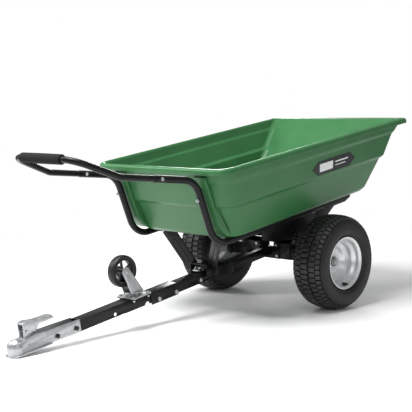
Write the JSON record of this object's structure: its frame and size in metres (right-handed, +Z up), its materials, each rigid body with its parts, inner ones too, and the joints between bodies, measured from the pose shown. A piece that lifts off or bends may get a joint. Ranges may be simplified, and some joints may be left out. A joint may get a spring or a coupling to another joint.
{
  "type": "garden dump cart",
  "caption": "Tow-behind garden cart: moulded tub that tips on an axle beam, channel drawbar with ball coupler and stowed caster, tubular push handle and turf tyres.",
  "frame": {"origin": "on the floor, under the middle of the cart's overall box, with the cart standing on its tyres and the coupler's nose", "axes": "X across with the wheels' axle along it, -Y towards the coupler, +Y towards the dumping lip, +Z up"},
  "size_m": [0.826, 1.9386, 0.803],
  "materials": {
    "powder_black": "satin powder coat",
    "zinc": "bright zinc plate",
    "tub_plastic": "satin moulded polyethylene",
    "label_film": "satin film, blank",
    "tyre": "matte tread rubber",
    "rim_silver": "silver paint",
    "bearing_plastic": "matte",
    "soft_rubber": "matte foam and rubber",
    "caster_core": "matte moulded core",
    "bolt_black": "black oxide"
  },
  "bodies": {
    "chassis": {"axle_beam": "powder_black", "beam_end_caps": "powder_black", "axle_shaft": "zinc", "axle_spacers": "zinc", "axle_washers": "zinc", "axle_cotters": "zinc", "hinge_brackets": "powder_black", "pivot_shaft": "powder_black", "pivot_bolts": "zinc", "drawbar_rear": "powder_black", "drawbar_flange": "powder_black", "flange_bolts": "zinc", "drawbar_sleeve": "powder_black", "sleeve_bolts": "zinc", "drawbar_tongue": "powder_black", "drawbar_front": "powder_black", "latch_saddle": "powder_black", "latch_ears": "powder_black", "latch_pin": "zinc", "latch_spring": "zinc", "caster_mount": "powder_black", "caster_plate": "zinc", "caster_bolts": "zinc", "caster_race": "zinc", "coupler_adapter": "zinc", "coupler_housing": "zinc", "coupler_bolts": "bolt_black", "coupler_adjuster": "zinc", "coupler_pins": "zinc"},
    "wheel_left": {"tyre_left": "tyre", "rim_left": "rim_silver", "bearings_left": "bearing_plastic", "valve_left": "soft_rubber"},
    "wheel_right": {"tyre_right": "tyre", "rim_right": "rim_silver", "bearings_right": "bearing_plastic", "valve_right": "soft_rubber"},
    "tub": {"tub_shell": "tub_plastic", "tub_label": "label_film", "tub_bolts": "zinc", "handle_leg_left": "powder_black", "handle_leg_right": "powder_black", "leg_bolts": "zinc", "handle_bow": "powder_black", "handle_bolts": "zinc", "handle_grip": "soft_rubber", "cross_tubes": "powder_black", "saddle_left": "powder_black", "saddle_right": "powder_black", "saddle_web": "powder_black", "pivot_bushes": "zinc", "strut_pair": "powder_black", "strut_yoke": "powder_black"},
    "latch": {"latch_lever": "zinc"},
    "coupler_lever": {"coupler_lever": "zinc"},
    "coupler_jaw": {"coupler_jaw": "zinc"},
    "caster_fork": {"caster_fork": "zinc", "caster_axle": "zinc"},
    "caster_wheel": {"caster_core": "caster_core", "caster_tyre": "soft_rubber"}
  },
  "joints": [
    {"name": "wheel_spin_left", "type": "hinge", "parent": "chassis", "child": "wheel_left", "pos_m": [-0.335, 0.44427, 0.2], "axis": [1, 0, 0], "continuous": true},
    {"name": "wheel_spin_right", "type": "hinge", "parent": "chassis", "child": "wheel_right", "pos_m": [0.335, 0.44427, 0.2], "axis": [1, 0, 0], "continuous": true},
    {"name": "tub_tilt", "type": "hinge", "parent": "chassis", "child": "tub", "pos_m": [0, 0.45374, 0.28437], "axis": [-1, 0, 0], "range_deg": [0, 60]},
    {"name": "latch_release", "type": "hinge", "parent": "chassis", "child": "latch", "pos_m": [0, -0.02393, 0.19276], "axis": [1, 0, 0], "range_deg": [0, 15], "stiffness_Nm_per_rad": 0.6, "springref_deg": -17.19},
    {"name": "coupler_lever_lift", "type": "hinge", "parent": "chassis", "child": "coupler_lever", "pos_m": [0, -0.89843, 0.08347], "axis": [1, 0, 0], "range_deg": [0, 65]},
    {"name": "coupler_jaw_swing", "type": "hinge", "parent": "chassis", "child": "coupler_jaw", "pos_m": [0, -0.89441, 0.04363], "axis": [1, 0, 0], "range_deg": [0, 13]},
    {"name": "caster_swivel", "type": "hinge", "parent": "chassis", "child": "caster_fork", "pos_m": [0, -0.38637, 0.15502], "axis": [0, -0.1499, 0.9887], "continuous": true},
    {"name": "caster_wheel_spin", "type": "hinge", "parent": "caster_fork", "child": "caster_wheel", "pos_m": [0, -0.44123, 0.23672], "axis": [1, 0, 0], "continuous": true}
  ],
  "couplings": [
    {"joint": "coupler_jaw_swing", "follows": "coupler_lever_lift", "ratio": 0.2}
  ]
}
